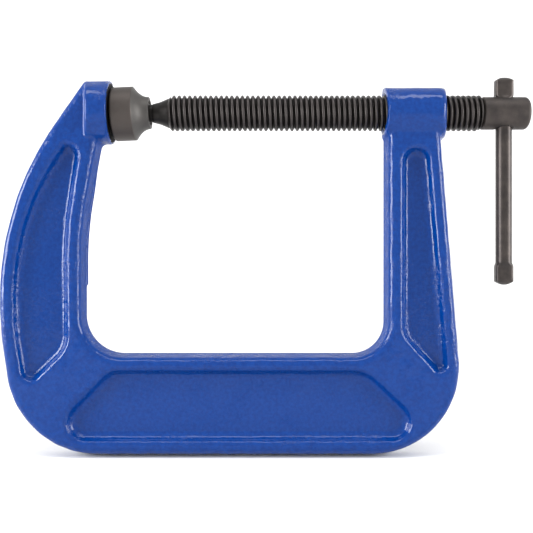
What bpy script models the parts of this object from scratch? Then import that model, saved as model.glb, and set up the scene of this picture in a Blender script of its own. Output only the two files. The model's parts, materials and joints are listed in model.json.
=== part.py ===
"""Deep-throat C clamp: a cast frame, a threaded screw, its swivel pad and a sliding tommy bar.

Run it with blender --background --python part.py, or from Blender's text editor.
Units are metres, +Z is up, +X runs along the screw from the anvil to the handle, and the frame is
symmetric about the XZ plane. The clamp stands on its bottom bar, and the origin is at the middle of
its foot. It is drawn fully closed, with the bar dropped until its top end rests on the screw's head.
"""

import math

import bmesh
import bpy

# The clamp as a whole
OPENING = 0.1024
THROAT_DEPTH = 0.1058
BOTTOM_BAR_DEPTH = 0.0447
BACK_REACH = 0.0492
FLANGE_THICKNESS = 0.0146
WEB_THICKNESS = 0.0064

# Frame casting
PARTING_LAND = 0.0050
SIDE_DRAFT = 0.0012
EDGE_RADIUS = 0.0024
POCKET_DRAFT = 0.0014
POCKET_FLOOR_RADIUS = 0.0012
ARM_BACKSET = 0.0112
ANVIL_RADIUS = 0.0137
ANVIL_LENGTH = 0.0105
ANVIL_EDGE = 0.0008
JAW_PROUD = 0.0004
BOSS_RADIUS = 0.0116
BOSS_LENGTH = 0.0262
BOSS_EDGE = 0.0015

# Screw thread: 5/8 inch across, 11 turns to the inch, right hand
PITCH = 0.0254 / 11
CREST_RADIUS = 0.0078
ROOT_RADIUS = 0.0065
CREST_FLAT = PITCH / 8
THREAD_CLEARANCE = 0.0004
MOUTH_CHAMFER = 0.0008

# Screw ends
NECK_RADIUS = 0.0038
NECK_LENGTH = 0.0016
NOSE_RADIUS = 0.0064
NOSE_LENGTH = 0.0068
CORE_RADIUS = 0.0058
HEAD_RADIUS = 0.0071
HEAD_LENGTH = 0.0204
HEAD_STANDOFF = 0.0169
HEAD_EDGE = 0.0016
HEAD_SHOULDER = 0.0004

# Swivel pad
PAD_RADIUS = 0.0117
PAD_LENGTH = 0.0160
PAD_CYLINDER_LENGTH = 0.0092
PAD_RIM_RADIUS = 0.0070
PAD_RIM_WALL = 0.0011
PAD_EDGE = 0.0011
PAD_TILT = math.radians(2.6)
BALL_RADIUS = 0.0056
BALL_CLEARANCE = 0.0003
BALL_INSET = 0.0042
PAD_LIP = 0.0009

# Tommy bar
BAR_RADIUS = 0.0035
BAR_LENGTH = 0.0915
BAR_POSITION = 0.01005
BAR_HOLE_CLEARANCE = 0.00035
SWAGE_LENGTH = 0.0084
SWAGE_SPREAD = 0.0006
SWAGE_PINCH = 0.0007
SWAGE_SHOULDER = 0.0018
SWAGE_DOME = 0.0015

# Gaps between pieces that meet on the real clamp
PAD_GAP = 0.0008
BOSS_GAP = 0.0006
REST_GAP = 0.0003
FLUSH_STEP = 0.0001

# Fineness: the most that a chord may stand off its arc, the least distance between points, and
# the sides of the turned pieces
CHORD_ERROR = 0.00005
MERGE = 0.00001
THREAD_SEGMENTS = 16
TURNED_SEGMENTS = 32
BAR_SEGMENTS = 20

# Places worked out from the sizes above
SCREW_Z = BOTTOM_BAR_DEPTH + THROAT_DEPTH
CLOSED_SPAN = PAD_GAP + PAD_LENGTH + OPENING + BOSS_GAP
OVERALL_LENGTH = BACK_REACH + CLOSED_SPAN + BOSS_LENGTH + HEAD_STANDOFF + HEAD_LENGTH
ANVIL_X = BACK_REACH - OVERALL_LENGTH / 2
BOSS_X = ANVIL_X + CLOSED_SPAN
BOSS_END_X = BOSS_X + BOSS_LENGTH
HEAD_X = BOSS_END_X + HEAD_STANDOFF
HEAD_END_X = HEAD_X + HEAD_LENGTH
PAD_RIM_X = ANVIL_X + PAD_GAP + PAD_LENGTH
BALL_X = PAD_RIM_X - BALL_INSET
THREAD_X = PAD_RIM_X + NECK_LENGTH + NOSE_LENGTH
BAR_X = HEAD_X + BAR_POSITION
BAR_Z = SCREW_Z + HEAD_RADIUS + REST_GAP + SWAGE_LENGTH - BAR_LENGTH / 2
JAW_RISE = ANVIL_RADIUS + JAW_PROUD
HALF_FLANGE = FLANGE_THICKNESS / 2


def clear_scene():
    for obj in list(bpy.data.objects):
        bpy.data.objects.remove(obj, do_unlink=True)


def new_collection(name):
    collection = bpy.data.collections.new(name)
    bpy.context.scene.collection.children.link(collection)
    return collection


def make_material(name, colour, roughness, metallic):
    material = bpy.data.materials.new(name)
    material.use_nodes = True
    shader = material.node_tree.nodes["Principled BSDF"]
    shader.inputs["Base Color"].default_value = (*colour, 1.0)
    shader.inputs["Roughness"].default_value = roughness
    shader.inputs["Metallic"].default_value = metallic
    return material


def add_object(name, mesh, collection):
    obj = bpy.data.objects.new(name, mesh)
    collection.objects.link(obj)
    return obj


def mesh_from(bm, name):
    """The mesh of a finished bmesh, with its faces turned outwards."""
    bmesh.ops.recalc_face_normals(bm, faces=bm.faces)
    mesh = bpy.data.meshes.new(name)
    bm.to_mesh(mesh)
    bm.free()
    return mesh


def add_modifier(obj, name, kind, **settings):
    modifier = obj.modifiers.new(name, kind)
    for key, value in settings.items():
        setattr(modifier, key, value)
    return modifier


def made_mesh(obj):
    """Turns an object's modifiers into its own mesh, and leaves the object where it is."""
    bpy.context.view_layer.update()
    graph = bpy.context.evaluated_depsgraph_get()
    mesh = bpy.data.meshes.new_from_object(obj.evaluated_get(graph))
    mesh.name = obj.name
    obj.modifiers.clear()
    obj.data = mesh
    return mesh


def hide_cutter(obj):
    obj.hide_render = True
    obj.display_type = "WIRE"
    return obj


def boolean(obj, operation, other):
    add_modifier(obj, f"{operation.lower()} {other.name}", "BOOLEAN", operation=operation, object=other)


# Outlines and turned shapes


def arc(centre, radius, start, end):
    """Points on an arc from angle start to angle end, as fine as CHORD_ERROR asks."""
    step = 2 * math.acos(1 - min(0.5, CHORD_ERROR / radius))
    count = max(2, math.ceil(abs(end - start) / step))
    angles = [start + (end - start) * i / count for i in range(count + 1)]
    return [(centre[0] + radius * math.cos(a), centre[1] + radius * math.sin(a)) for a in angles]


def corner_angle(corners, i):
    """The direction of the edge before corner i and the signed angle from it to the edge after."""
    x, z = corners[i][:2]
    before, after = corners[i - 1], corners[(i + 1) % len(corners)]
    to_before = math.atan2(before[1] - z, before[0] - x)
    to_after = math.atan2(after[1] - z, after[0] - x)
    return to_before, math.remainder(to_after - to_before, math.tau)


def fitted_radii(corners):
    """The corners' radii, each limited so that the arcs at both ends of an edge fit on the edge."""
    count = len(corners)
    openings = [abs(corner_angle(corners, i)[1]) for i in range(count)]
    reaches = [corner[2] / math.tan(opening / 2) for corner, opening in zip(corners, openings)]
    shares = [1.0] * count
    for i in range(count):
        j = (i + 1) % count
        wanted = reaches[i] + reaches[j]
        room = math.dist(corners[i][:2], corners[j][:2])
        if wanted > room:
            shares[i] = min(shares[i], room / wanted)
            shares[j] = min(shares[j], room / wanted)
    return [corner[2] * share for corner, share in zip(corners, shares)]


def rounded_outline(corners):
    """The closed outline of a polygon whose corners (x, z, radius) are rounded by tangent arcs."""
    points = []
    for i, radius in enumerate(fitted_radii(corners)):
        x, z = corners[i][:2]
        if radius == 0:
            points.append((x, z))
            continue
        to_before, opening = corner_angle(corners, i)
        bisector = to_before + opening / 2
        reach = radius / math.sin(abs(opening) / 2)
        centre = (x + reach * math.cos(bisector), z + reach * math.sin(bisector))
        sweep = opening - math.copysign(math.pi, opening)
        start = to_before - math.copysign(math.pi / 2, opening)
        points += arc(centre, radius, start, start + sweep)
    return [point for i, point in enumerate(points) if math.dist(point, points[i - 1]) > MERGE]


def quarter_round(radius, steps):
    """The inset and the rise of each step from a vertical wall over a quarter round."""
    angles = [math.pi / 2 * i / steps for i in range(steps + 1)]
    ends = [(radius * (1 - math.cos(a)), radius * math.sin(a)) for a in angles]
    return [(b[0] - a[0], b[1] - a[1]) for a, b in zip(ends, ends[1:])]


def drafted_slab(bm, outline, start_y, steps, facing):
    """An outline filled at start_y and carried along Y by (inset, rise) steps, left open at start_y.

    facing is 1 to carry it towards +Y and -1 to carry it towards -Y. A step with no inset goes
    straight out.
    """
    face = bm.faces.new([bm.verts.new((x, start_y, z)) for x, z in outline])
    face.normal_update()
    if face.normal.y * facing < 0:
        face.normal_flip()
    for inset, rise in steps:
        bmesh.ops.inset_region(
            bm,
            faces=[face],
            thickness=inset,
            depth=rise,
            use_boundary=True,
            use_even_offset=True,
        )


def turned(name, profile, place_x, collection, segments=TURNED_SEGMENTS):
    """A body turned about the screw's axis from a profile of (radius, distance along +X) points.

    The profile runs from its far end to its near end down the outer side, and place_x is where the
    object's origin stands on the axis.
    """
    mesh = bpy.data.meshes.new(name)
    edges = [(i, i + 1) for i in range(len(profile) - 1)]
    mesh.from_pydata([(radius, 0, along) for radius, along in profile], edges, [])
    obj = add_object(name, mesh, collection)
    obj.location = (place_x, 0, SCREW_Z)
    obj.rotation_euler = (0, math.pi / 2, 0)
    add_modifier(
        obj,
        "turn",
        "SCREW",
        axis="Z",
        steps=segments,
        render_steps=segments,
        use_merge_vertices=True,
        merge_threshold=MERGE,
        use_normal_calculate=False,
    )
    return obj


def barrel_profile(radius, near, far, near_edge, far_edge):
    """A solid cylinder's profile from far to near, with a round on either end's edge."""
    far_round = arc((radius - far_edge, far - far_edge), far_edge, math.pi / 2, 0)
    near_round = arc((radius - near_edge, near + near_edge), near_edge, 0, -math.pi / 2)
    return [(0, far), *far_round, *near_round, (0, near)]


# Threads


def thread_blank(name, origin_x, first_x, last_x, growth, collection):
    """A closed threaded rod that covers first_x to last_x, grown outwards by growth.

    One pitch of profile goes round in a Screw modifier, turn after turn, and each open end is drawn
    in to a point on the axis. Every blank is in step with the others, so a rod meshes with its tap.
    """
    turns = math.ceil((last_x - first_x) / PITCH) + 2
    start_x = BOSS_X + PITCH * (math.floor((first_x - BOSS_X) / PITCH) - 1)
    flank = (PITCH - CREST_FLAT) / 2
    root, crest = ROOT_RADIUS + growth, CREST_RADIUS + growth
    profile = [(root, PITCH), (crest, PITCH - flank), (crest, flank), (root, 0)]
    mesh = bpy.data.meshes.new(name)
    points = [(radius, 0, along + start_x - origin_x) for radius, along in profile]
    mesh.from_pydata(points, [(0, 1), (1, 2), (2, 3)], [])
    obj = add_object(name, mesh, collection)
    add_modifier(
        obj,
        "thread",
        "SCREW",
        axis="Z",
        screw_offset=PITCH,
        iterations=turns,
        steps=THREAD_SEGMENTS,
        render_steps=THREAD_SEGMENTS,
        use_merge_vertices=False,
    )
    mesh = made_mesh(obj)
    bm = bmesh.new()
    bm.from_mesh(mesh)
    bmesh.ops.remove_doubles(bm, verts=bm.verts, dist=MERGE)
    middle = start_x - origin_x + PITCH * (turns + 1) / 2
    rim = [edge for edge in bm.edges if edge.is_boundary]
    drawn = bmesh.ops.extrude_edge_only(bm, edges=rim)["geom"]
    tips = [item for item in drawn if isinstance(item, bmesh.types.BMVert)]
    for end in (
        [vert for vert in tips if vert.co.z < middle],
        [vert for vert in tips if vert.co.z > middle],
    ):
        height = sum(vert.co.z for vert in end) / len(end)
        bmesh.ops.pointmerge(bm, verts=end, merge_co=(0, 0, height))
    bmesh.ops.recalc_face_normals(bm, faces=bm.faces)
    bm.to_mesh(mesh)
    bm.free()
    obj.location = (origin_x, 0, SCREW_Z)
    obj.rotation_euler = (0, math.pi / 2, 0)
    return obj


# Frame


def frame_corners():
    """The frame's outline at its parting plane, anticlockwise as seen from the front."""
    jaw_top = SCREW_Z + JAW_RISE
    anvil = ANVIL_X - FLUSH_STEP
    boss = BOSS_X + FLUSH_STEP
    return [
        (anvil, SCREW_Z + 0.0086, 0),
        (anvil, jaw_top, 0),
        (anvil - 0.0118, jaw_top, 0.0040),
        (ANVIL_X - BACK_REACH, SCREW_Z - 0.0392, 0.135),
        (ANVIL_X - BACK_REACH, 0.0570, 0.150),
        (ANVIL_X - BACK_REACH + 0.0083, 0, 0.041),
        (BOSS_X + 0.0368, 0, 0.039),
        (BOSS_X + 0.0243, SCREW_Z + 0.0020, 0),
        (boss, SCREW_Z + 0.0020, 0),
        (boss, BOTTOM_BAR_DEPTH, 0.014),
        (ANVIL_X - ARM_BACKSET, BOTTOM_BAR_DEPTH, 0.017),
        (ANVIL_X - ARM_BACKSET, SCREW_Z - 0.0505, 0.160),
    ]


def pocket_corners():
    """The outlines of the recesses at the flange's face: left arm, bottom bar and right arm."""
    left_arm = [
        (ANVIL_X - 0.0120, SCREW_Z - 0.0141, 0.0065),
        (ANVIL_X - 0.0202, SCREW_Z - 0.0141, 0.0035),
        (ANVIL_X - 0.0422, SCREW_Z - 0.0462, 0.110),
        (ANVIL_X - 0.0422, 0.0570, 0.100),
        (ANVIL_X - 0.0374, 0.0276, 0.0050),
        (ANVIL_X - 0.0175, 0.0472, 0.014),
        (ANVIL_X - 0.0179, SCREW_Z - 0.0535, 0.160),
    ]
    bottom_bar = [
        (ANVIL_X - 0.0001, 0.0382, 0.011),
        (ANVIL_X - 0.0308, 0.0067, 0.0087),
        (BOSS_X + 0.0257, 0.0067, 0.0091),
        (BOSS_X - 0.0081, 0.0382, 0.016),
    ]
    right_arm = [
        (BOSS_X + 0.0069, SCREW_Z - 0.0157, 0.0065),
        (BOSS_X + 0.0069, 0.0528, 0.012),
        (BOSS_X + 0.0224, 0.0360, 0.0032),
        (BOSS_X + 0.0276, 0.0378, 0.0032),
        (BOSS_X + 0.0195, SCREW_Z - 0.0157, 0.0060),
    ]
    return left_arm, bottom_bar, right_arm


def make_pocket_cutter(collection):
    """The three drafted recesses of the front face and, mirrored, those of the back face."""
    wall_depth = HALF_FLANGE - WEB_THICKNESS / 2
    steps = [(POCKET_DRAFT, wall_depth), *quarter_round(POCKET_FLOOR_RADIUS, 3)]
    mouth_y = -HALF_FLANGE - POCKET_FLOOR_RADIUS
    bm = bmesh.new()
    for corners in pocket_corners():
        outline = rounded_outline(corners)
        drafted_slab(bm, outline, mouth_y, steps, 1)
        bm.faces.new([bm.verts.new((x, mouth_y, z)) for x, z in outline])
    bmesh.ops.remove_doubles(bm, verts=bm.verts, dist=MERGE)
    obj = hide_cutter(add_object("pocket_cutter", mesh_from(bm, "pocket_cutter"), collection))
    add_modifier(obj, "both sides", "MIRROR", use_axis=(False, True, False), use_mirror_merge=False)
    return obj


def make_mouth_cutter(name, face_x, inwards, collection):
    """A cone that chamfers one mouth of the tapped bore, wide end outside the boss."""
    wide = CREST_RADIUS + THREAD_CLEARANCE + MOUTH_CHAMFER
    narrow = ROOT_RADIUS - THREAD_CLEARANCE
    depth = (wide - narrow) * inwards
    profile = [(0, -MOUTH_CHAMFER * inwards), (wide + MOUTH_CHAMFER, -MOUTH_CHAMFER * inwards)]
    profile += [(narrow, depth), (0, depth)]
    if inwards > 0:
        profile.reverse()
    return hide_cutter(turned(name, profile, face_x, collection))


def make_frame(parts, cutters):
    bm = bmesh.new()
    half_land = PARTING_LAND / 2
    draft_rise = HALF_FLANGE - EDGE_RADIUS - half_land
    steps = [(0, half_land), (SIDE_DRAFT, draft_rise), *quarter_round(EDGE_RADIUS, 3)]
    drafted_slab(bm, rounded_outline(frame_corners()), 0, steps, -1)
    frame = add_object("frame", mesh_from(bm, "frame"), parts)
    add_modifier(
        frame,
        "back half",
        "MIRROR",
        use_axis=(False, True, False),
        merge_threshold=MERGE,
    )
    anvil_profile = barrel_profile(ANVIL_RADIUS, -ANVIL_LENGTH, 0, ANVIL_EDGE, ANVIL_EDGE)
    boss_profile = barrel_profile(BOSS_RADIUS, 0, BOSS_LENGTH, BOSS_EDGE, BOSS_EDGE)
    reach = MOUTH_CHAMFER + PITCH
    boolean(frame, "UNION", hide_cutter(turned("anvil_boss", anvil_profile, ANVIL_X, cutters)))
    boolean(frame, "UNION", hide_cutter(turned("screw_boss", boss_profile, BOSS_X, cutters)))
    boolean(frame, "DIFFERENCE", make_pocket_cutter(cutters))
    tap = thread_blank(
        "boss_tap", BOSS_X, BOSS_X - reach, BOSS_END_X + reach, THREAD_CLEARANCE, cutters
    )
    boolean(frame, "DIFFERENCE", hide_cutter(tap))
    boolean(frame, "DIFFERENCE", make_mouth_cutter("inner_mouth", BOSS_X, 1, cutters))
    boolean(frame, "DIFFERENCE", make_mouth_cutter("outer_mouth", BOSS_END_X, -1, cutters))
    return frame


# Screw, pad and bar


def make_screw(parts, cutters):
    """The screw: ball, neck and nose, threaded shank, and head with its cross hole."""
    to_head = HEAD_X - BALL_X
    to_thread = THREAD_X - BALL_X
    to_end = HEAD_END_X - BALL_X
    neck_start = math.sqrt(BALL_RADIUS**2 - NECK_RADIUS**2)
    head_edge = arc((HEAD_RADIUS - HEAD_EDGE, to_end - HEAD_EDGE), HEAD_EDGE, math.pi / 2, 0)
    ball = arc((0, 0), BALL_RADIUS, math.atan2(neck_start, NECK_RADIUS), -math.pi / 2)
    shank_profile = [
        (0, to_end),
        *head_edge,
        (HEAD_RADIUS, to_head + HEAD_SHOULDER),
        (HEAD_RADIUS - HEAD_SHOULDER, to_head),
        (CORE_RADIUS, to_head),
        (CORE_RADIUS, to_thread),
        (NOSE_RADIUS, to_thread),
        (NECK_RADIUS, to_thread - NOSE_LENGTH),
        *ball[:-1],
        (0, -BALL_RADIUS),
    ]
    run_out = CREST_RADIUS - CORE_RADIUS + CREST_FLAT
    envelope_profile = [
        (0, to_head + HEAD_SHOULDER),
        (CORE_RADIUS, to_head + HEAD_SHOULDER),
        (CORE_RADIUS + run_out, to_head - run_out / 2),
        (CORE_RADIUS + run_out, to_thread + run_out),
        (CORE_RADIUS, to_thread - HEAD_SHOULDER),
        (0, to_thread - HEAD_SHOULDER),
    ]
    screw = thread_blank("screw", BALL_X, THREAD_X, HEAD_X + PITCH, 0, parts)
    boolean(screw, "INTERSECT", hide_cutter(turned("thread_envelope", envelope_profile, BALL_X, cutters)))
    boolean(screw, "UNION", hide_cutter(turned("shank", shank_profile, BALL_X, cutters)))
    mesh = bpy.data.meshes.new("cross_hole")
    bm = bmesh.new()
    hole_radius = BAR_RADIUS + BAR_HOLE_CLEARANCE
    bmesh.ops.create_cone(
        bm,
        cap_ends=True,
        segments=BAR_SEGMENTS,
        radius1=hole_radius,
        radius2=hole_radius,
        depth=4 * HEAD_RADIUS,
    )
    bm.to_mesh(mesh)
    bm.free()
    hole = hide_cutter(add_object("cross_hole", mesh, cutters))
    hole.location = (BAR_X, 0, SCREW_Z)
    boolean(screw, "DIFFERENCE", hole)
    return screw


def make_pad(parts):
    """The swivel pad: a turned cup whose lip holds the ball, hanging a little tilted on it."""
    face = -(PAD_LENGTH - BALL_INSET)
    shoulder = face + PAD_CYLINDER_LENGTH
    rim = BALL_INSET
    socket_radius = BALL_RADIUS + BALL_CLEARANCE
    lip = rim - PAD_LIP
    lip_angle = math.asin(lip / socket_radius)
    socket = arc((0, 0), socket_radius, -math.pi / 2, lip_angle)
    depth = rim - shoulder
    fall = PAD_RADIUS - PAD_RIM_RADIUS
    waist = [(t, 1 - (1 - t) ** 2.2) for t in (0.2, 0.4, 0.6, 0.8)]
    cone = [(PAD_RADIUS - fall * drop, shoulder + depth * t) for t, drop in reversed(waist)]
    face_edge = arc((PAD_RADIUS - PAD_EDGE, face + PAD_EDGE), PAD_EDGE, 0, -math.pi / 2)
    profile = [
        (0, -socket_radius),
        *socket[1:],
        (PAD_RIM_RADIUS - PAD_RIM_WALL, rim),
        (PAD_RIM_RADIUS, rim),
        *cone,
        (PAD_RADIUS, shoulder),
        *face_edge,
        (0, face),
    ]
    pad = turned("swivel_pad", profile, BALL_X, parts)
    pad.rotation_euler = (0, math.pi / 2 - PAD_TILT, 0)
    return pad


def make_tommy_bar(parts):
    """A round bar, pinched flat and domed at both ends so that it can't slip out of its hole."""
    half = BAR_LENGTH / 2
    waist = half - SWAGE_LENGTH
    dome = [
        (BAR_RADIUS * math.cos(a), half - SWAGE_DOME * (1 - math.sin(a)))
        for a in (math.radians(70), math.radians(45), math.radians(20), 0)
    ]
    upper = [(0, half), *dome, (BAR_RADIUS, waist + SWAGE_SHOULDER), (BAR_RADIUS, waist)]
    profile = upper + [(radius, -along) for radius, along in reversed(upper)]
    bar = turned("tommy_bar", profile, 0, parts, BAR_SEGMENTS)
    mesh = made_mesh(bar)
    for vert in mesh.vertices:
        pinch = min(1.0, max(0.0, (abs(vert.co.z) - waist) / SWAGE_SHOULDER))
        vert.co.x *= 1 + pinch * SWAGE_SPREAD / BAR_RADIUS
        vert.co.y *= 1 - pinch * SWAGE_PINCH / BAR_RADIUS
    bar.location = (BAR_X, 0, BAR_Z)
    bar.rotation_euler = (0, 0, 0)
    return bar


def finish(obj, material, sharp_angle):
    """Gives a part its material and smooth shading, with its real edges kept sharp."""
    obj.data.materials.clear()
    obj.data.materials.append(material)
    obj.data.shade_smooth()
    obj.data.set_sharp_from_angle(angle=math.radians(sharp_angle))


def main():
    clear_scene()
    parts = new_collection("c_clamp")
    cutters = new_collection("cutters")
    paint = make_material("blue_enamel", (0.03, 0.12, 0.48), 0.3, 0.0)
    black = make_material("black_oxide_steel", (0.06, 0.055, 0.05), 0.45, 0.9)
    grey = make_material("grey_oxide_steel", (0.16, 0.14, 0.13), 0.5, 0.9)
    finish(make_frame(parts, cutters), paint, 35)
    finish(make_screw(parts, cutters), black, 30)
    finish(make_pad(parts), grey, 35)
    finish(make_tommy_bar(parts), grey, 35)


main()
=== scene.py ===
"""Deep-throat C clamp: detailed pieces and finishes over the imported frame.

Units are metres. +X runs along the screw from the anvil to the tommy bar, +Z is up, and the front of
the clamp faces -Y. Every piece's place is in its own mesh, and it rides on the body of the same name.
"""

import json
import math

import bmesh
import bpy
import numpy as np
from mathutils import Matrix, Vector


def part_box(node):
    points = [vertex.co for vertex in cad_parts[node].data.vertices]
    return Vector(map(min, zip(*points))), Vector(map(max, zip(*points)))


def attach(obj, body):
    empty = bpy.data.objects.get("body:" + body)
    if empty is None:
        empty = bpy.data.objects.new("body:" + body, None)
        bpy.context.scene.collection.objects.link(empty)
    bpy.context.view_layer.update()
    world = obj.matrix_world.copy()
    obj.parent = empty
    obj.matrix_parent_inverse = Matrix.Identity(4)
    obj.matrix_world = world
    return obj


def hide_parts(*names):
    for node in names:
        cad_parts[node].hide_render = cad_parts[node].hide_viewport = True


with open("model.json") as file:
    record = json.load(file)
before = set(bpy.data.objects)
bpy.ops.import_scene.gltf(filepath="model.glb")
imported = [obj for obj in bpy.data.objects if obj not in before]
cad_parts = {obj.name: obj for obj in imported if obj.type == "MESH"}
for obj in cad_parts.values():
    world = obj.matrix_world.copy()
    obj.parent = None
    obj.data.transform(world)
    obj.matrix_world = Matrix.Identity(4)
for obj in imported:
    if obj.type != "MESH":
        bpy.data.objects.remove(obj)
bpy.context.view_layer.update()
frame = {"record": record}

bl_info = {
    "name": "C clamp",
    "version": (1, 0, 0),
    "blender": (4, 5, 0),
    "location": "3D View > Sidebar > C clamp",
    "description": "Builds a deep-throat C clamp and its studio",
    "category": "Object",
}

# Fixed places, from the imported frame's joints
JOINTS = {joint["name"]: joint for joint in frame["record"]["behaviour"]["joints"]}
BALL_X, _, SCREW_Z = JOINTS["screw_turn"]["pos_m"]
OPENING = JOINTS["pad_travel"]["range_m"][1]
BAR_LOW, BAR_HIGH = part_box("tommy_bar")
BAR_X = (BAR_LOW.x + BAR_HIGH.x) / 2
HEAD_END_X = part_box("screw")[1].x

# How finely the pieces are worked out
CASTING_CELL = (0.00082, 0.00060, 0.00082)
TURNED_SEGMENTS = 96
THREAD_SEGMENTS = 48
BAR_SEGMENTS = 64
DRILL_SEGMENTS = 64

# Small steps, rounds and fillets of the pieces
BOSS_GAP = 0.0006
JAW_PROUD = 0.0004
ANVIL_ROUND = 0.0009
ANVIL_OVERRUN = 0.0015
BOSS_ROUND = 0.0015
BOSS_END_ROUND = 0.0026
BOSS_FILLET = 0.0016
BORE_ROUND = 0.0003
SOCKET_CLEARANCE = 0.0003
PAD_LIP = 0.0009
PAD_STEP = 0.0003

# The machining of the casting: how far below the screw's axis the cutter goes, and where the bore starts
CUTTER_REACH = 0.022
BORE_START_X = 0.030


def length(name, description, default):
    return bpy.props.FloatProperty(
        name=name,
        description=description,
        default=default,
        min=0.0,
        precision=5,
        unit="LENGTH",
        subtype="DISTANCE",
    )


def colour(name, description, code):
    return bpy.props.StringProperty(name=name, description=description, default=code)


class FrameSizes(bpy.types.PropertyGroup):
    bar_depth: length("Bar depth", "Height of the bottom bar", 0.0447)
    back_reach: length("Back reach", "How far the left arm bulges behind the anvil face", 0.0492)
    flange: length("Flange", "Thickness of the frame through its flanges", 0.0146)
    web: length("Web", "Thickness left between the pockets of the two sides", 0.0064)
    side_draft: length("Side draft", "How far the edges come in from the parting plane to the face", 0.0013)
    edge_radius: length("Edge radius", "Round on the flange's edges", 0.0026)
    pocket_draft: length("Pocket draft", "How far a pocket's wall comes in towards its floor", 0.0024)
    pocket_lip: length("Pocket lip", "Round on a pocket's rim", 0.0013)
    pocket_fillet: length("Pocket fillet", "Round at the foot of a pocket's wall", 0.0019)
    arm_backset: length(
        "Arm backset", "How far the left arm's inner side stands behind the anvil face", 0.0112
    )
    anvil_radius: length("Anvil radius", "Radius of the round anvil", 0.0137)
    anvil_length: length("Anvil length", "Length of the round anvil at the flange's face", 0.0105)
    boss_radius: length("Boss radius", "Radius of the boss that the screw runs in", 0.0116)
    boss_length: length("Boss length", "Length of the screw's boss at the parting plane", 0.0276)
    bore_radius: length("Bore radius", "Clear radius of the boss's bore", 0.0080)
    waviness: length("Waviness", "Height of the casting's slow unevenness", 0.00007)
    flash: length("Flash", "Height of the fin left at the parting plane inside the left arm", 0.0006)


class ScrewSizes(bpy.types.PropertyGroup):
    pitch: length("Pitch", "Thread pitch, 11 turns to the inch", 0.0254 / 11)
    crest_radius: length("Crest radius", "Radius over the thread", 0.0078)
    root_radius: length("Root radius", "Radius at the thread's root", 0.0065)
    neck_radius: length("Neck radius", "Radius of the neck behind the ball", 0.0038)
    nose_radius: length("Nose radius", "Radius where the nose meets the thread", 0.0067)
    head_radius: length("Head radius", "Radius of the head", 0.0071)
    head_length: length("Head length", "Length of the plain head", 0.0204)
    hole_radius: length("Hole radius", "Radius of the head's cross hole", 0.00385)


class PadSizes(bpy.types.PropertyGroup):
    radius: length("Radius", "Radius of the pad's face", 0.0117)
    depth: length("Depth", "Length of the pad along the screw", 0.0160)
    cylinder: length("Cylinder", "Length of its cylindrical part", 0.0092)
    rim_radius: length("Rim radius", "Radius of the rim round the neck", 0.0070)
    ball_radius: length("Ball radius", "Radius of the screw's ball", 0.0056)
    ball_inset: length("Ball inset", "How far the ball's centre is inside the rim", 0.0042)
    gap: length("Gap", "Space left at the anvil when closed", 0.0008)
    tilt: bpy.props.FloatProperty(
        name="Tilt",
        description="How far the pad hangs down on its ball",
        default=math.radians(2.6),
        subtype="ANGLE",
    )


class BarSizes(bpy.types.PropertyGroup):
    radius: length("Radius", "Radius of the plain bar", 0.0035)
    swage_length: length("Swage length", "Length of each flattened end", 0.0084)
    top_half_width: length("Top half width", "Half the width of the upper flattened end", 0.0040)
    foot_half_width: length("Foot half width", "Half the width of the lower flattened end", 0.0039)
    half_thickness: length("Half thickness", "Half the thickness of the flattened ends", 0.0028)
    shoulder: length("Shoulder", "Length over which the bar swells into its flattened end", 0.0022)
    sunk: length("Sunk", "How far that swelling reaches into the hole's flared mouth", 0.0016)
    dome: length("Dome", "Height of the domed ends", 0.0015)


class Finishes(bpy.types.PropertyGroup):
    enamel: colour("Enamel", "Main colour of the enamel", "#002D71")
    enamel_thin: colour("Thin enamel", "The enamel on the high grains of the cast skin", "#03367E")
    # The anvil face's near-black is painted shade: the shadow in the gap between the anvil and the pad.
    machined_iron_painted_shade: colour("Machined iron", "Machined face of the anvil, dark with oil", "#141417")
    black_oxide: colour("Black oxide", "Thread and nose", "#141211")
    # The light oxide shows in random blotches and, on the thread's crests, as a painted highlight.
    worn_oxide_and_crest_highlight: colour("Worn oxide", "Crests of the thread, where the black has rubbed thin", "#3F3B3A")
    forge_scale: colour("Forge scale", "Pad, head and bar", "#46403D")
    forge_scale_dark: colour("Dark forge scale", "Darker blotches of the forge scale", "#353130")
    turned_steel: colour("Turned steel", "The pad's turned cone", "#4D4B49")
    floor: colour("Floor", "Plain pale floor", "#EEEEEE")


class StageSettings(bpy.types.PropertyGroup):
    camera_distance: length("Camera distance", "From the clamp's middle plane", 0.320)
    camera_offset: length("Camera offset", "To the right of the clamp's middle", 0.00115)
    camera_height: length("Camera height", "Above the floor", 0.0829)
    field_of_view: bpy.props.FloatProperty(
        name="Field of view", description="Across the picture", default=math.radians(40.4), subtype="ANGLE"
    )
    sky: bpy.props.FloatProperty(name="Sky", description="Strength of the even light all round", default=1.0)
    side_light: bpy.props.FloatProperty(
        name="Side light",
        description="Power of the left strip; the right one has two thirds of it",
        default=8.5,
        unit="POWER",
    )
    top_light: bpy.props.FloatProperty(
        name="Top light", description="Power of the overhead strip", default=3.4, unit="POWER"
    )


# Outlines and fields


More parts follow.
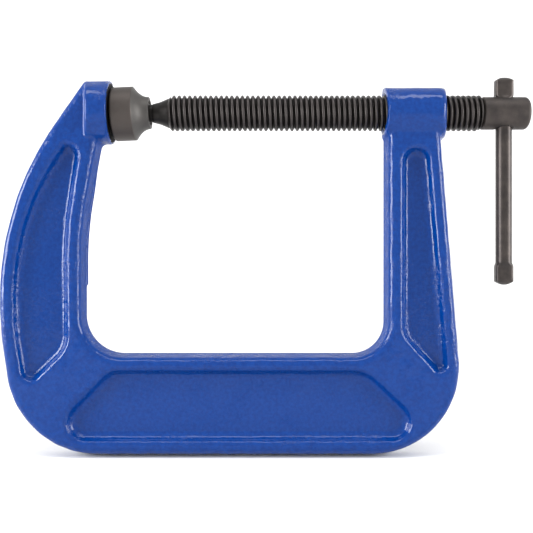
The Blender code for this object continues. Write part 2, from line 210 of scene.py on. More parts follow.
def smooth_path(corners):
    """Lines and tangent arcs of a closed polygon whose corners (x, z, radius) are rounded.

    An arc touches both edges at radius / tan(half the opening) from its corner, and its radius is
    cut down where two arcs would meet on an edge. The inside is on the left of the way round.
    """
    points = np.array([corner[:2] for corner in corners], float)
    radii = np.array([corner[2] for corner in corners], float)
    before = np.roll(points, 1, axis=0) - points
    after = np.roll(points, -1, axis=0) - points
    to_before = np.arctan2(before[:, 1], before[:, 0])
    to_after = np.arctan2(after[:, 1], after[:, 0])
    opening = (to_after - to_before + math.pi) % math.tau - math.pi
    reach = radii / np.tan(abs(opening) / 2)
    room = np.linalg.norm(after, axis=1) / (reach + np.roll(reach, -1))
    share = np.minimum(1, np.minimum(room, np.roll(room, 1)))
    radii, reach = radii * share, reach * share
    starts = points + after / np.linalg.norm(after, axis=1)[:, None] * reach[:, None]
    ends = points + before / np.linalg.norm(before, axis=1)[:, None] * reach[:, None]
    middle = to_before + opening / 2
    towards = np.stack([np.cos(middle), np.sin(middle)], axis=1)
    centres = points + (radii / np.sin(abs(opening) / 2))[:, None] * towards
    lines = list(zip(starts, np.roll(ends, -1, axis=0)))
    arcs = list(zip(centres, radii, middle + math.pi, (math.pi - abs(opening)) / 2, -np.sign(opening)))
    return lines, arcs


def path_distance(path, x, z):
    """Signed distance to a closed path, negative inside: the distance to the nearest of its lines
    and arcs, with the sign of the side of it."""
    lines, arcs = path
    nearest = np.full(np.broadcast(x, z).shape, np.inf)
    signed = np.zeros_like(nearest)
    for start, end in lines:
        along = end - start
        share = np.clip(((x - start[0]) * along[0] + (z - start[1]) * along[1]) / (along @ along), 0, 1)
        away = np.hypot(x - start[0] - share * along[0], z - start[1] - share * along[1])
        left = along[0] * (z - start[1]) - along[1] * (x - start[0])
        closer = away < nearest
        nearest = np.where(closer, away, nearest)
        signed = np.where(closer, np.where(left > 0, -away, away), signed)
    for centre, radius, heading, half_sweep, turn in arcs:
        reach = np.hypot(x - centre[0], z - centre[1]) - radius
        angle = (np.arctan2(z - centre[1], x - centre[0]) - heading + math.pi) % math.tau - math.pi
        closer = (abs(angle) <= half_sweep + 1e-7) & (abs(reach) < nearest)
        nearest = np.where(closer, abs(reach), nearest)
        signed = np.where(closer, reach * turn, signed)
    return signed


def both(a, b, radius):
    """Where two fields are both negative, with the outer edge between them rounded: beyond the round
    it is their greater, and on the round the length of (a + radius, b + radius) less the radius."""
    past = np.hypot(np.maximum(a + radius, 0), np.maximum(b + radius, 0))
    return np.minimum(np.maximum(a, b), -radius) + past


def either(a, b, radius):
    """Where one field or the other is negative, with a fillet of the radius in the corner between them."""
    return -both(-a, -b, radius)


def ramp(value, start, end):
    """0 before start and 1 after end, with a smooth rise 3t^2 - 2t^3 between."""
    share = np.clip((value - start) / (end - start), 0, 1)
    return share * share * (3 - 2 * share)


def frame_corners(sizes, anvil_x, boss_x):
    """The frame's outline at its parting plane, anticlockwise as seen from the front."""
    jaw_top = SCREW_Z + sizes.anvil_radius + JAW_PROUD
    back = anvil_x - sizes.back_reach
    arm = anvil_x - sizes.arm_backset
    return [
        (anvil_x - 0.0001, SCREW_Z + 0.0086, 0.0020),
        (anvil_x - 0.0001, jaw_top, 0.0006),
        (anvil_x - 0.0119, jaw_top, 0.0040),
        (back, SCREW_Z - 0.0392, 0.135),
        (back, 0.0570, 0.150),
        (back + 0.0083, 0, 0.041),
        (boss_x + 0.0368, 0, 0.039),
        (boss_x + 0.0243, SCREW_Z + 0.0020, 0.0010),
        (boss_x + 0.0001, SCREW_Z + 0.0020, 0.0010),
        (boss_x + 0.0001, sizes.bar_depth, 0.014),
        (arm, sizes.bar_depth, 0.017),
        (arm, SCREW_Z - 0.0505, 0.160),
    ]


def pocket_corners(anvil_x, boss_x):
    """The outlines of the recesses at the flange's face: left arm, bottom bar and right arm."""
    left_arm = [
        (anvil_x - 0.0120, SCREW_Z - 0.0141, 0.0065),
        (anvil_x - 0.0202, SCREW_Z - 0.0141, 0.0035),
        (anvil_x - 0.0422, SCREW_Z - 0.0462, 0.110),
        (anvil_x - 0.0422, 0.0570, 0.100),
        (anvil_x - 0.0374, 0.0276, 0.0050),
        (anvil_x - 0.0175, 0.0472, 0.014),
        (anvil_x - 0.0179, SCREW_Z - 0.0535, 0.160),
    ]
    bottom_bar = [
        (anvil_x - 0.0001, 0.0382, 0.011),
        (anvil_x - 0.0308, 0.0067, 0.0087),
        (boss_x + 0.0257, 0.0067, 0.0091),
        (boss_x - 0.0081, 0.0382, 0.016),
    ]
    right_arm = [
        (boss_x + 0.0069, SCREW_Z - 0.0157, 0.0065),
        (boss_x + 0.0069, 0.0528, 0.012),
        (boss_x + 0.0224, 0.0360, 0.0032),
        (boss_x + 0.0276, 0.0378, 0.0032),
        (boss_x + 0.0195, SCREW_Z - 0.0157, 0.0060),
    ]
    return left_arm, bottom_bar, right_arm


def casting_field(sizes, anvil_x, boss_x):
    """A function of x, y and z that is negative inside the casting and nought on its skin.

    It is the drafted slab of the outline, joined by fillets to the two bosses, less the pockets, the
    machined face and the bore. Slow waves a few hundredths of a millimetre high go over the skin.
    """
    outline = smooth_path(frame_corners(sizes, anvil_x, boss_x))
    pockets = [smooth_path(corners) for corners in pocket_corners(anvil_x, boss_x)]
    half, half_web = sizes.flange / 2, sizes.web / 2

    def field(x, y, z):
        side = abs(y)
        radial = np.hypot(y, z - SCREW_Z)
        outer = path_distance(outline, x, z)
        inner_arm = ramp(z, 0.0742, 0.0752) * (1 - ramp(z, 0.112, 0.128)) * (x < -0.060) * (x > -0.090)
        fin = (0.00010 + sizes.flash * inner_arm) * np.clip(1 - side / 0.0006, 0, 1)
        inset = sizes.side_draft * side / (half - sizes.edge_radius)
        slab = both(outer + inset - fin, side - half, sizes.edge_radius)
        behind = anvil_x - sizes.anvil_length - 0.0018 - x + 0.25 * side
        anvil_ends = np.maximum(x - anvil_x - ANVIL_OVERRUN, behind)
        anvil = both(radial - sizes.anvil_radius, anvil_ends, ANVIL_ROUND)
        low = 1 - ramp(z, SCREW_Z - 0.010, SCREW_Z - 0.003)
        anvil_fillet = ANVIL_ROUND + 0.0012 * low * (1 - ramp(side, 0.002, 0.006))
        body = either(slab, anvil, anvil_fillet)
        boss_ends = np.maximum(
            boss_x - 0.0004 + 0.10 * side - x,
            both(
                x - boss_x - sizes.boss_length + 0.19 * side, radial - sizes.boss_radius, BOSS_END_ROUND
            ),
        )
        boss = both(radial - sizes.boss_radius, boss_ends, BOSS_ROUND)
        body = either(body, boss, BOSS_FILLET)
        phase = 2 * math.pi * (x + 0.31 * z) / 0.0171
        waves = np.sin(phase) * np.sin(2 * math.pi * (z - 0.27 * x) / 0.0143 + 1.1) + 0.7 * np.sin(
            2 * math.pi * (0.8 * x - 0.6 * z) / 0.0079 + 2.0 + 0.6 * np.sin(phase)
        )
        body = body + sizes.waviness * waves * ramp(side, 0.002, 0.005)
        for pocket in pockets:
            wall = path_distance(pocket, x, z) + sizes.pocket_draft * (half - side) / (half - half_web)
            recess = both(wall, half_web - side, sizes.pocket_fillet)
            body = both(body, -recess, sizes.pocket_lip)
        swept = np.maximum(np.maximum(anvil_x - x, SCREW_Z - CUTTER_REACH - z), x - anvil_x - 0.012)
        body = both(body, -swept, ANVIL_ROUND)
        from_end = np.minimum(x - boss_x, boss_x + sizes.boss_length - x)
        mouth = sizes.bore_radius + np.clip(0.0009 - from_end, 0, 0.0012)
        bore = np.maximum(radial - mouth, BORE_START_X - x)
        return both(body, -bore, BORE_ROUND)

    return field


def surface_net(field, low, high, cell):
    """Points and four-cornered faces of the skin where a field is nought.

    Each cell of a grid that the skin crosses holds one point, the mean of the crossings on its
    edges, and each grid edge that it crosses gives a face between the four cells around that edge.
    The points are then moved onto the skin along the field's slope.
    """
    low, cell = np.array(low, float), np.array(cell, float)
    counts = np.ceil((np.array(high) - low) / cell).astype(int) + 1
    axes = [low[i] + cell[i] * np.arange(counts[i]) for i in range(3)]
    values = np.ascontiguousarray(
        np.broadcast_to(field(axes[0][:, None, None], axes[1][None, :, None], axes[2][None, None, :]), counts)
    )
    inside = values < 0
    corners = np.array([(i, j, k) for i in (0, 1) for j in (0, 1) for k in (0, 1)])
    held = np.zeros(counts - 1, np.int8)
    for corner in corners:
        held += inside[tuple(slice(c, n - 1 + c) for c, n in zip(corner, counts))]
    crossed = (held > 0) & (held < 8)
    cells = np.argwhere(crossed)
    number = np.full(crossed.shape, -1)
    number[crossed] = np.arange(len(cells))
    total, hits = np.zeros((len(cells), 3)), np.zeros((len(cells), 1))
    for axis in range(3):
        step = np.eye(3, dtype=int)[axis]
        for corner in corners[corners[:, axis] == 0]:
            near, far = cells + corner, cells + corner + step
            a, b = values[tuple(near.T)], values[tuple(far.T)]
            cuts = (a < 0) != (b < 0)
            share = np.where(cuts, a / np.where(cuts, a - b, 1), 0)
            total += cuts[:, None] * (near + share[:, None] * step)
            hits += cuts[:, None]
    points = low + cell * total / hits
    faces = []
    for axis in range(3):
        u, v = (axis + 1) % 3, (axis + 2) % 3
        lower = inside[tuple(slice(0, -1) if i == axis else slice(1, -1) for i in range(3))]
        upper = inside[tuple(slice(1, None) if i == axis else slice(1, -1) for i in range(3))]
        edges = np.argwhere(lower != upper)
        outwards = lower[tuple(edges.T)]
        edges[:, [u, v]] += 1
        around = []
        for du, dv in ((-1, -1), (0, -1), (0, 0), (-1, 0)):
            at = edges.copy()
            at[:, u] += du
            at[:, v] += dv
            around.append(number[tuple(at.T)])
        quads = np.stack(around, axis=1)
        faces.append(np.where(outwards[:, None], quads, quads[:, ::-1]))
    for _ in range(4):
        slope, value = slope_of(field, points)
        move = value[:, None] * slope / np.maximum((slope**2).sum(1, keepdims=True), 0.25)
        points -= np.clip(move, -cell / 2, cell / 2)
    slope, _ = slope_of(field, points)
    normals = slope / np.linalg.norm(slope, axis=1, keepdims=True)
    return points, np.concatenate(faces), normals


def slope_of(field, points, reach=0.00004):
    """The field's slope and value at each point, from the differences between points either side."""
    x, y, z = points.T
    slope = np.stack(
        [
            field(x + reach, y, z) - field(x - reach, y, z),
            field(x, y + reach, z) - field(x, y - reach, z),
            field(x, y, z + reach) - field(x, y, z - reach),
        ],
        axis=1,
    )
    return slope / (2 * reach), field(x, y, z)


# Turned, threaded and drawn surfaces


def filleted(corners, steps=6):
    """An open profile of (along, radius, round) corners, each round drawn as an arc in equal steps."""
    points = []
    for i, (along, radius, size) in enumerate(corners):
        here = np.array([along, radius])
        if size == 0:
            points.append(here)
            continue
        back = np.array(corners[i - 1][:2]) - here
        on = np.array(corners[i + 1][:2]) - here
        back, on = back / np.linalg.norm(back), on / np.linalg.norm(on)
        half = math.acos(np.clip(back @ on, -1, 1)) / 2
        centre = here + (back + on) / np.linalg.norm(back + on) * size / math.sin(half)
        first, last = here + back * size / math.tan(half), here + on * size / math.tan(half)
        start = math.atan2(*(first - centre)[::-1])
        sweep = (math.atan2(*(last - centre)[::-1]) - start + math.pi) % math.tau - math.pi
        angles = start + sweep * np.arange(steps + 1) / steps
        points += list(centre + size * np.stack([np.cos(angles), np.sin(angles)], 1))
    return np.array(points)


def turned(profile, segments=TURNED_SEGMENTS):
    """A grid of points turned about the screw's axis: a profile point (x, r) at angle t becomes
    (x, r cos t, r sin t). One row for each profile point, one column for each angle."""
    angles = math.tau * np.arange(segments) / segments
    along = np.repeat(profile[:, :1], segments, axis=1)
    around = profile[:, 1:]
    return np.stack([along, around * np.cos(angles), SCREW_Z + around * np.sin(angles)], axis=2)


def grid_faces(rows, columns):
    """The faces of a grid that closes on itself across its columns."""
    index = np.arange(rows * columns).reshape(rows, columns)
    beside = np.roll(index, -1, axis=1)
    return np.stack([index[:-1], beside[:-1], beside[1:], index[1:]], axis=2).reshape(-1, 4)


def hex_colour(code):
    """A hex colour as linear red, green and blue: s / 12.92 up to 0.04045, then ((s + 0.055) / 1.055)^2.4."""
    parts = [int(code[i : i + 2], 16) / 255 for i in (1, 3, 5)]
    return tuple(s / 12.92 if s <= 0.04045 else ((s + 0.055) / 1.055) ** 2.4 for s in parts) + (1.0,)


def add_piece(name, points, faces, materials, body=None):
    """A mesh object from arrays of points and faces, riding on a body and finished from a slot."""
    mesh = bpy.data.meshes.new(name)
    mesh.vertices.add(len(points))
    mesh.vertices.foreach_set("co", np.asarray(points, np.float32).ravel())
    mesh.loops.add(faces.size)
    mesh.loops.foreach_set("vertex_index", faces.astype(np.int32).ravel())
    mesh.polygons.add(len(faces))
    mesh.polygons.foreach_set("loop_start", np.arange(0, faces.size, faces.shape[1], dtype=np.int32))
    mesh.update(calc_edges=True)
    piece = bpy.data.objects.new(name, mesh)
    bpy.context.scene.collection.objects.link(piece)
    for material in materials:
        mesh.materials.append(material)
    mesh.shade_smooth()
    if body:
        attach(piece, body)
    return piece


def close_up(piece, smooth_angle=None):
    """Merges the doubled points of poles and seams, and keeps edges sharper than the angle sharp."""
    bm = bmesh.new()
    bm.from_mesh(piece.data)
    bmesh.ops.remove_doubles(bm, verts=bm.verts, dist=1e-6)
    bmesh.ops.dissolve_degenerate(bm, edges=bm.edges, dist=1e-7)
    bmesh.ops.recalc_face_normals(bm, faces=bm.faces)
    bm.to_mesh(piece.data)
    bm.free()
    piece.data.shade_smooth()
    if smooth_angle:
        piece.data.set_sharp_from_angle(angle=math.radians(smooth_angle))
    return piece


def thread_grid(sizes, first_x, last_x, envelope):
    """The thread's surface: turn u and place v across one pitch give the angle 2 pi u, the place
    first + pitch u + v and the smaller of the thread form's radius at v and the envelope's there."""
    form = np.array(
        [(0.0, 0.0), (0.04, 0.02), (0.09, 0.14), (0.20, 0.58), (0.26, 0.78), (0.32, 0.91), (0.40, 0.98),
         (0.5, 1.0), (0.60, 0.98), (0.68, 0.91), (0.74, 0.78), (0.80, 0.58), (0.91, 0.14), (0.96, 0.02)]
    )
    turns = math.ceil((last_x - first_x) / sizes.pitch) + 2
    rows = turns * THREAD_SEGMENTS
    turn = (np.arange(rows + 1) / THREAD_SEGMENTS)[:, None]
    along = first_x - sizes.pitch * 1.5 + sizes.pitch * (turn + form[:, 0])
    height = np.broadcast_to(form[:, 1], along.shape)
    depth = sizes.crest_radius - sizes.root_radius
    radius = np.minimum(sizes.root_radius + depth * height, envelope(along))
    along = np.clip(along, first_x, last_x)
    angle = math.tau * turn
    points = np.stack([along, radius * np.cos(angle), SCREW_Z + radius * np.sin(angle)], axis=2)
    columns = len(form)
    index = np.arange((rows + 1) * columns).reshape(rows + 1, columns)
    across = np.stack([index[:-1, :-1], index[:-1, 1:], index[1:, 1:], index[1:, :-1]], axis=2).reshape(-1, 4)
    last, ahead = index[: rows - THREAD_SEGMENTS + 1, -1], index[THREAD_SEGMENTS:, 0]
    seam = np.stack([last[:-1], ahead[:-1], ahead[1:], last[1:]], axis=1)
    return points.reshape(-1, 3), np.concatenate([across, seam]), height.ravel()


# Finishes


def add_node(material, kind, inputs=None, **settings):
    """Adds one shader node. Settings are its own properties, and inputs its sockets, each given a
    value or another node's output."""
    node = material.node_tree.nodes.new("ShaderNode" + kind)
    for key, value in settings.items():
        setattr(node, key, value)
    for key, value in (inputs or {}).items():
        if isinstance(value, bpy.types.NodeSocket):
            material.node_tree.links.new(value, node.inputs[key])
        else:
            node.inputs[key].default_value = value
    return node


def new_material(name, **inputs):
    """A material with a Principled shader, whose sockets take the inputs."""
    material = bpy.data.materials.new(name)
    material.use_nodes = True
    shader = material.node_tree.nodes["Principled BSDF"]
    for key, value in inputs.items():
        shader.inputs[key.replace("_", " ")].default_value = value
    place = add_node(material, "TexCoord").outputs["Object"]
    return material, shader, place


def enamel_material(finishes):
    """Glossy enamel over a cast skin: two close blues in a fine grain, a clear wet gloss, a slow
    orange peel, and patches of small pits from the sand mould showing through."""
    material, shader, place = new_material(
        "blue_enamel_on_cast_iron",
        Roughness=0.42,
        Coat_Weight=1.0,
        Coat_Roughness=0.06,
        Coat_IOR=1.34,
        Specular_IOR_Level=0.0,
    )
    grain = add_node(material, "TexNoise", {"Vector": place, "Scale": 640.0, "Detail": 2.0, "Roughness": 0.6})
    thin = add_node(material, "MapRange", {"Value": grain.outputs["Fac"], "From Min": 0.34, "From Max": 0.66})
    base, high = hex_colour(finishes.enamel), hex_colour(finishes.enamel_thin)
    tone = add_node(
        material, "Mix", {"Factor": thin.outputs["Result"], "A": base, "B": high}, data_type="RGBA"
    )
    peel = add_node(material, "TexNoise", {"Vector": place, "Scale": 260.0, "Detail": 2.0, "Roughness": 0.45})
    pits = add_node(material, "TexNoise", {"Vector": place, "Scale": 620.0, "Detail": 3.0, "Roughness": 0.6})
    patch = add_node(material, "TexNoise", {"Vector": place, "Scale": 70.0, "Detail": 1.0})
    where = add_node(
        material, "MapRange", {"Value": patch.outputs["Fac"], "From Min": 0.46, "From Max": 0.62}
    )
    deep = add_node(material, "MapRange", {"Value": pits.outputs["Fac"], "From Min": 0.36, "From Max": 0.52})
    dents = add_node(
        material,
        "Math",
        {0: deep.outputs["Result"], 1: where.outputs["Result"]},
        operation="MULTIPLY",
    )
    slow = add_node(material, "Bump", {"Strength": 0.7, "Distance": 0.00030, "Height": peel.outputs["Fac"]})
    pitted = add_node(
        material,
        "Bump",
        {
            "Strength": 0.5,
            "Distance": 0.00018,
            "Height": dents.outputs["Value"],
            "Normal": slow.outputs["Normal"],
        },
    )
    links = material.node_tree.links
    links.new(tone.outputs["Result"], shader.inputs["Base Color"])
    links.new(pitted.outputs["Normal"], shader.inputs["Normal"])
    links.new(pitted.outputs["Normal"], shader.inputs["Coat Normal"])
    return material


def painted_shade_machined_iron_material(finishes):
    """Machined cast iron painted near-black as the shade in the gap between the anvil and the pad: a matt
    near-black grey with the fine marks of the mill.
    """
    material, shader, place = new_material(
        "oiled_machined_cast_iron",
        Base_Color=hex_colour(finishes.machined_iron_painted_shade),
        Specular_IOR_Level=0.15,
    )
    marks = add_node(material, "TexNoise", {"Vector": place, "Scale": 900.0, "Detail": 2.0})
    rough = add_node(material, "MapRange", {"Value": marks.outputs["Fac"], "To Min": 0.6, "To Max": 0.8})
    bump = add_node(material, "Bump", {"Strength": 0.3, "Distance": 0.00003, "Height": marks.outputs["Fac"]})
    material.node_tree.links.new(rough.outputs["Result"], shader.inputs["Roughness"])
    material.node_tree.links.new(bump.outputs["Normal"], shader.inputs["Normal"])
    return material


def steel_material(name, dark, light, scale, share, roughness, attribute=None):
    """Oxidised steel: two close tones in blotches, each as wide as the scale says, under a low
    uneven sheen. An attribute, where it is given, brings the light tone out where it is high; on the
    thread's crests this is a painted highlight."""
    material, shader, place = new_material(name, Metallic=0.75)
    blotch = add_node(
        material, "TexNoise", {"Vector": place, "Scale": 1 / scale, "Detail": 4.0, "Roughness": 0.6}
    )
    factor = add_node(
        material,
        "MapRange",
        {"Value": blotch.outputs["Fac"], "From Min": 0.35, "From Max": 0.68, "To Max": share},
    ).outputs["Result"]
    if attribute:
        worn = add_node(material, "Attribute", attribute_name=attribute)
        high = add_node(material, "MapRange", {"Value": worn.outputs["Fac"], "From Min": 0.55, "To Max": 0.9})
        factor = add_node(
            material, "Math", {0: factor, 1: high.outputs["Result"]}, operation="ADD", use_clamp=True
        ).outputs["Value"]
    tone = add_node(
        material, "Mix", {"Factor": factor, "A": hex_colour(dark), "B": hex_colour(light)}, data_type="RGBA"
    )
    grain = add_node(material, "TexNoise", {"Vector": place, "Scale": 1100.0, "Detail": 3.0})
    rough = add_node(
        material,
        "MapRange",
        {"Value": blotch.outputs["Fac"], "To Min": roughness - 0.08, "To Max": roughness + 0.10},
    )
    bump = add_node(material, "Bump", {"Strength": 0.35, "Distance": 0.00005, "Height": grain.outputs["Fac"]})
    links = material.node_tree.links
    links.new(tone.outputs["Result"], shader.inputs["Base Color"])
    links.new(rough.outputs["Result"], shader.inputs["Roughness"])
    links.new(bump.outputs["Normal"], shader.inputs["Normal"])
    return material


def floor_material(finishes):
    """Matt white paper: even and pale, with the faintest mottle."""
    material, shader, place = new_material("matt_white_paper", Roughness=0.9, Specular_IOR_Level=0.1)
    mottle = add_node(material, "TexNoise", {"Vector": place, "Scale": 30.0})
    code = hex_colour(finishes.floor)
    dim = tuple(0.99 * part for part in code[:3]) + (1.0,)
    tone = add_node(material, "Mix", {"Factor": mottle.outputs["Fac"], "A": code, "B": dim}, data_type="RGBA")
    material.node_tree.links.new(tone.outputs["Result"], shader.inputs["Base Color"])
    return material


# Pieces


def places(context):
    """Where the anvil's face and the boss's inner end stand on the screw's axis."""
    pad = context.scene.clamp_pad
    anvil_x = BALL_X - (pad.depth - pad.ball_inset) - pad.gap
    return anvil_x, anvil_x + pad.gap + pad.depth + OPENING + BOSS_GAP


class CLAMP_OT_casting(bpy.types.Operator):
    """Casts the frame: flanges and webs, anvil and screw boss, with its enamel"""

    bl_idname = "clamp.casting"
    bl_label = "Frame casting"

    def execute(self, context):
        sizes, finishes = context.scene.clamp_frame, context.scene.clamp_finishes
        anvil_x, boss_x = places(context)
        box_low, box_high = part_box("frame")
        margin = 0.0031
        low = [corner - margin for corner in box_low]
        high = [corner + margin for corner in box_high]
        # Grid planes stand half a cell either side of the parting plane, so that front and back match
        low[1] = -CASTING_CELL[1] * (math.ceil(high[1] / CASTING_CELL[1]) + 0.5)
        field = casting_field(sizes, anvil_x, boss_x)
        points, faces, normals = surface_net(field, low, high, CASTING_CELL)
        materials = [enamel_material(finishes), painted_shade_machined_iron_material(finishes)]
        casting = add_piece("frame_casting", points, faces, materials, "frame")
        middle = points[faces].mean(axis=1)
        # The anvil's machined face, finished near-black as painted shade for the gap at the pad.
        machined = (abs(middle[:, 0] - anvil_x) < 0.00006) & (middle[:, 2] > SCREW_Z - 0.020)
        casting.data.polygons.foreach_set("material_index", machined.astype(np.int32))
        casting.data.normals_split_custom_set_from_vertices(normals.astype(np.float32))
        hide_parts("frame")
        return {"FINISHED"}


class CLAMP_OT_screw(bpy.types.Operator):
    """Cuts the screw: thread, nose with its neck and ball, and head with its cross hole"""

    bl_idname = "clamp.screw"
    bl_label = "Screw"

    def execute(self, context):
        scene = context.scene
        sizes, pad, finishes = scene.clamp_screw, scene.clamp_pad, scene.clamp_finishes
        # The thread's crests take the light oxide as a painted highlight, and the roots stay black.
        black = steel_material(
            "black_oxide_steel", finishes.black_oxide, finishes.worn_oxide_and_crest_highlight, 0.004, 0.25, 0.38, "crest"
        )
        scale = steel_material(
            "oxidised_forged_steel", finishes.forge_scale_dark, finishes.forge_scale, 0.006, 1.0, 0.5
        )
        rim_x = BALL_X + pad.ball_inset
        thread_x = rim_x + 0.0084
        head_x = HEAD_END_X - sizes.head_length
        start, end = thread_x - 0.0006, head_x + 0.0006

        def envelope(x):
            rise = sizes.nose_radius - 0.0004 + (x - thread_x) * 1.1
            fall = sizes.root_radius - 0.0004 + (head_x - x) * 1.3
            return np.where((x <= start) | (x >= end), 0.0, np.maximum(np.minimum(rise, fall), 0.001))

        points, faces, height = thread_grid(sizes, start, end, envelope)
        thread = add_piece("screw_thread", points, faces, [black], "screw")
        crest = thread.data.attributes.new("crest", "FLOAT", "POINT")
        crest.data.foreach_set("value", height.astype(np.float32))
        close_up(thread)
        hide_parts("screw")

        neck_start = math.sqrt(pad.ball_radius**2 - sizes.neck_radius**2)
        ball_angles = np.linspace(math.pi, math.atan2(sizes.neck_radius, neck_start), 24)
        ball = [
            (BALL_X + pad.ball_radius * math.cos(a), pad.ball_radius * math.sin(a), 0)
            for a in ball_angles
        ]
        ball[0] = (BALL_X - pad.ball_radius, 0, 0)
        nose_profile = filleted(
            ball
            + [
                (rim_x + 0.0012, sizes.neck_radius, 0),
                (rim_x + 0.0014, sizes.neck_radius + 0.0003, 0.0002),
                (rim_x + 0.0046, sizes.neck_radius + 0.0011, 0.006),
                (thread_x - 0.0002, sizes.nose_radius - 0.0003, 0.0002),
                (thread_x + 0.0004, sizes.nose_radius - 0.0004, 0),
                (thread_x + 0.0004, 0, 0),
            ]
        )
        grid = turned(nose_profile)
        nose = add_piece(
            "screw_nose", grid.reshape(-1, 3), grid_faces(*grid.shape[:2]), [black], "screw"
        )
        close_up(nose, 40)

        head_profile = filleted(
            [
                (head_x, 0, 0),
                (head_x, sizes.head_radius - 0.0006, 0),
                (head_x + 0.0005, sizes.head_radius, 0.0002),
                (HEAD_END_X, sizes.head_radius, 0.0017),
                (HEAD_END_X, 0, 0),
            ]
        )
        grid = turned(head_profile)
        head = add_piece(
            "screw_head", grid.reshape(-1, 3), grid_faces(*grid.shape[:2]), [scale], "screw"
        )
        close_up(head)
        wide = sizes.hole_radius + 0.0012
        drill_profile = np.array(
            [(-0.012, 0), (-0.012, wide + 0.004), (-sizes.head_radius + 0.0008, sizes.hole_radius)]
        )
        drill_profile = np.concatenate([drill_profile, drill_profile[::-1] * (-1, 1)])
        angles = math.tau * np.arange(DRILL_SEGMENTS) / DRILL_SEGMENTS
        drill_points = np.stack(
            [
                BAR_X + drill_profile[:, 1:] * np.cos(angles),
                drill_profile[:, 1:] * np.sin(angles),
                SCREW_Z + np.repeat(drill_profile[:, :1], DRILL_SEGMENTS, axis=1),
            ],
            axis=2,
        )
        drill_faces = grid_faces(len(drill_profile), DRILL_SEGMENTS)
        drill = close_up(add_piece("cross_drill", drill_points.reshape(-1, 3), drill_faces, []))
        cut = head.modifiers.new("cross hole", "BOOLEAN")
        cut.operation, cut.object = "DIFFERENCE", drill
        context.view_layer.update()
        drilled = bpy.data.meshes.new_from_object(head.evaluated_get(context.evaluated_depsgraph_get()))
        head.modifiers.clear()
        head.data = drilled
        drilled.set_sharp_from_angle(angle=math.radians(32))
        bpy.data.objects.remove(drill, do_unlink=True)
        return {"FINISHED"}


class CLAMP_OT_pad(bpy.types.Operator):
    """Turns the swivel pad, with the socket that holds the screw's ball"""

    bl_idname = "clamp.pad"
    bl_label = "Swivel pad"

    def execute(self, context):
        sizes, finishes = context.scene.clamp_pad, context.scene.clamp_finishes
        face_x = BALL_X - (sizes.depth - sizes.ball_inset)
        shoulder_x = face_x + sizes.cylinder
        rim_x = BALL_X + sizes.ball_inset
        socket = sizes.ball_radius + SOCKET_CLEARANCE
        lip_x = rim_x - PAD_LIP
        lip_angle = math.acos((lip_x - BALL_X) / socket)
        cone_x, cone_radius = shoulder_x + PAD_STEP, sizes.radius - PAD_STEP
        fall = cone_radius - sizes.rim_radius
        cone = [
            (cone_x + (rim_x - cone_x) * t, cone_radius - fall * (1 - (1 - t) ** 2.2), 0)
            for t in np.linspace(0, 1, 14)
        ]
        outer = filleted(
            [
                (face_x, 0, 0),
                (face_x, sizes.radius, 0.0011),
                (shoulder_x, sizes.radius, 0),
                *cone[:-1],
                (rim_x, sizes.rim_radius, 0.0003),
                (rim_x, sizes.rim_radius - 0.0013, 0.0003),
                (lip_x, socket * math.sin(lip_angle), 0),
            ]
        )
        angles = np.linspace(lip_angle, math.pi, 26)[1:]
        inner = np.stack([BALL_X + socket * np.cos(angles), socket * np.sin(angles)], axis=1)
        inner[-1, 1] = 0
        profile = np.concatenate([outer, inner])
        grid = turned(profile)
        flank = (profile[:, 0] > shoulder_x + 0.0001) & (profile[:, 1] > sizes.rim_radius - 0.0008)
        centre = np.array([BALL_X, 0, SCREW_Z])
        cosine, sine = math.cos(sizes.tilt), math.sin(sizes.tilt)
        swing = np.array([[cosine, 0, -sine], [0, 1, 0], [sine, 0, cosine]])
        points = (grid.reshape(-1, 3) - centre) @ swing.T + centre
        steel = steel_material(
            "turned_and_scaled_steel", finishes.forge_scale, finishes.turned_steel, 0.003, 0.25, 0.5, "turned"
        )
        pad = add_piece(
            "swivel_pad_turned", points, grid_faces(*grid.shape[:2]), [steel], "swivel_pad"
        )
        shine = np.repeat(flank.astype(np.float32), grid.shape[1])
        pad.data.attributes.new("turned", "FLOAT", "POINT").data.foreach_set("value", shine)
        close_up(pad, 28)
        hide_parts("swivel_pad")
        return {"FINISHED"}


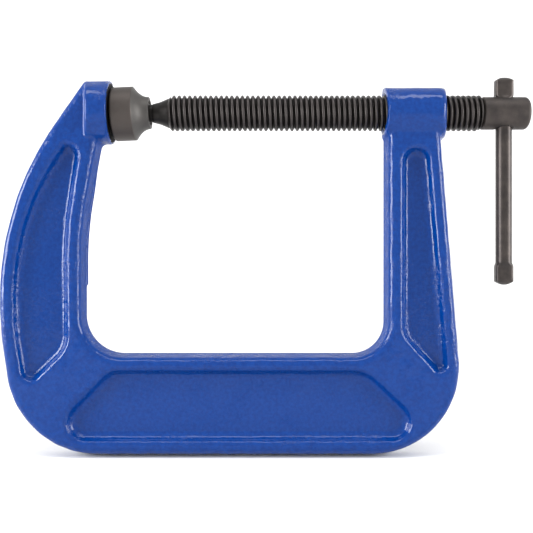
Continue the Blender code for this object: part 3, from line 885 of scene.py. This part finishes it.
class CLAMP_OT_bar(bpy.types.Operator):
    """Draws the tommy bar, round along its length and pinched flat at both ends"""

    bl_idname = "clamp.bar"
    bl_label = "Tommy bar"

    def execute(self, context):
        sizes, finishes = context.scene.clamp_bar, context.scene.clamp_finishes
        half = (BAR_HIGH.z - BAR_LOW.z) / 2
        middle = (BAR_HIGH.z + BAR_LOW.z) / 2
        waist = half - sizes.swage_length - sizes.sunk
        swell = np.linspace(0, 1, 9)
        flattened = np.linspace(waist + sizes.shoulder, half - sizes.dome, 6)
        upper = np.concatenate([waist + sizes.shoulder * swell, flattened[1:]])
        cap = np.array([1.0, 0.985, 0.94, 0.86, 0.72, 0.55, 0.36, 0.18, 0.0])
        cap_z = half - sizes.dome * cap**2
        plain = np.linspace(-waist, waist, 40)[1:-1]
        along = np.concatenate([-cap_z[::-1], -upper[::-1][1:], plain, upper, cap_z[1:]])
        scale = np.concatenate([cap[::-1], np.ones(2 * len(upper) - 1 + len(plain)), cap[1:]])
        flat = ramp(abs(along), waist, waist + sizes.shoulder)
        wide = np.where(along > 0, sizes.top_half_width, sizes.foot_half_width)
        half_width = (sizes.radius + (wide - sizes.radius) * flat) * scale
        half_depth = (sizes.radius + (sizes.half_thickness - sizes.radius) * flat) * scale
        power = 2 / (2 + 2.2 * flat)
        angles = math.tau * np.arange(BAR_SEGMENTS) / BAR_SEGMENTS
        cosine, sine = np.cos(angles), np.sin(angles)
        across = half_width[:, None] * np.sign(cosine) * abs(cosine) ** power[:, None]
        deep = half_depth[:, None] * np.sign(sine) * abs(sine) ** power[:, None]
        height = np.repeat((along + middle)[:, None], BAR_SEGMENTS, axis=1)
        points = np.stack([BAR_X + across, deep, height], axis=2)
        steel = steel_material(
            "drawn_and_scaled_steel", finishes.forge_scale_dark, finishes.forge_scale, 0.005, 1.0, 0.36
        )
        faces = grid_faces(len(along), BAR_SEGMENTS)
        bar = add_piece(
            "tommy_bar_drawn", points.reshape(-1, 3), faces, [steel], "tommy_bar"
        )
        close_up(bar, 50)
        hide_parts("tommy_bar")
        return {"FINISHED"}


def add_panel_light(name, power, place, aim, size):
    """A rectangular light panel at a place, turned to face an aim point."""
    light = bpy.data.lights.new(name, "AREA")
    light.shape, light.energy = "RECTANGLE", power
    light.size, light.size_y = size
    panel = bpy.data.objects.new(name, light)
    bpy.context.scene.collection.objects.link(panel)
    panel.location = place
    direction = Vector(aim) - Vector(place)
    panel.rotation_euler = direction.to_track_quat("-Z", "Y").to_euler()


class CLAMP_OT_stage(bpy.types.Operator):
    """Sets the floor, the light panels and the camera"""

    bl_idname = "clamp.stage"
    bl_label = "Stage"

    def execute(self, context):
        stage = context.scene.clamp_stage
        front, back, bend, wall_top, half_width, drop = -2.0, 0.55, 0.30, 2.0, 2.5, 0.0002
        angles = np.linspace(0, math.pi / 2, 17)
        curve = np.stack([back + bend * np.sin(angles), bend * (1 - np.cos(angles))], axis=1)
        sweep = np.concatenate([[(front, 0.0)], curve, [(back + bend, wall_top)]])
        rows = len(sweep)
        across = np.tile([-half_width, half_width], rows)
        points = np.stack(
            [across, np.repeat(sweep[:, 0], 2), np.repeat(sweep[:, 1], 2) - drop], axis=1
        )
        index = np.arange(2 * rows).reshape(rows, 2)
        faces = np.stack([index[:-1, 0], index[:-1, 1], index[1:, 1], index[1:, 0]], axis=1)
        floor = add_piece("floor", points, faces, [floor_material(context.scene.clamp_finishes)])

        aim, strip = (0, 0, 0.09), (0.34, 0.46)
        add_panel_light("left_strip", stage.side_light, (-0.80, -0.24, 0.23), aim, strip)
        add_panel_light("right_strip", stage.side_light * 2 / 3, (0.80, -0.24, 0.23), aim, strip)
        add_panel_light("overhead_strip", stage.top_light, (0.0, -0.30, 0.95), aim, (1.0, 0.18))
        world = bpy.data.worlds.new("even_sky")
        world.use_nodes = True
        sky = world.node_tree.nodes["Background"]
        sky.inputs["Color"].default_value = (1, 1, 1, 1)
        sky.inputs["Strength"].default_value = stage.sky
        context.scene.world = world

        camera = bpy.data.cameras.new("camera")
        camera.angle = stage.field_of_view
        camera.clip_start = 0.01
        viewer = bpy.data.objects.new("camera", camera)
        context.scene.collection.objects.link(viewer)
        viewer.location = (stage.camera_offset, -stage.camera_distance, stage.camera_height)
        viewer.rotation_euler = (math.pi / 2, 0, 0)
        context.scene.camera = viewer
        context.scene.view_settings.view_transform = "Standard"
        return {"FINISHED"}


class CLAMP_PT_pieces(bpy.types.Panel):
    """Lists the pieces of the clamp and its stage"""

    bl_idname = "CLAMP_PT_pieces"
    bl_label = "C clamp"
    bl_space_type = "VIEW_3D"
    bl_region_type = "UI"
    bl_category = "C clamp"

    def draw(self, context):
        for operator in OPERATORS:
            self.layout.operator(operator.bl_idname)


OPERATORS = (CLAMP_OT_casting, CLAMP_OT_screw, CLAMP_OT_pad, CLAMP_OT_bar, CLAMP_OT_stage)
SETTINGS = {
    "clamp_frame": FrameSizes,
    "clamp_screw": ScrewSizes,
    "clamp_pad": PadSizes,
    "clamp_bar": BarSizes,
    "clamp_finishes": Finishes,
    "clamp_stage": StageSettings,
}


def register():
    for made in (*SETTINGS.values(), *OPERATORS, CLAMP_PT_pieces):
        bpy.utils.register_class(made)
    for name, group in SETTINGS.items():
        setattr(bpy.types.Scene, name, bpy.props.PointerProperty(type=group))


def unregister():
    for name in SETTINGS:
        delattr(bpy.types.Scene, name)
    for made in reversed((*SETTINGS.values(), *OPERATORS, CLAMP_PT_pieces)):
        bpy.utils.unregister_class(made)


def main():
    register()
    bpy.ops.clamp.casting()
    bpy.ops.clamp.screw()
    bpy.ops.clamp.pad()
    bpy.ops.clamp.bar()
    bpy.ops.clamp.stage()


if __name__ == "__main__":
    main()
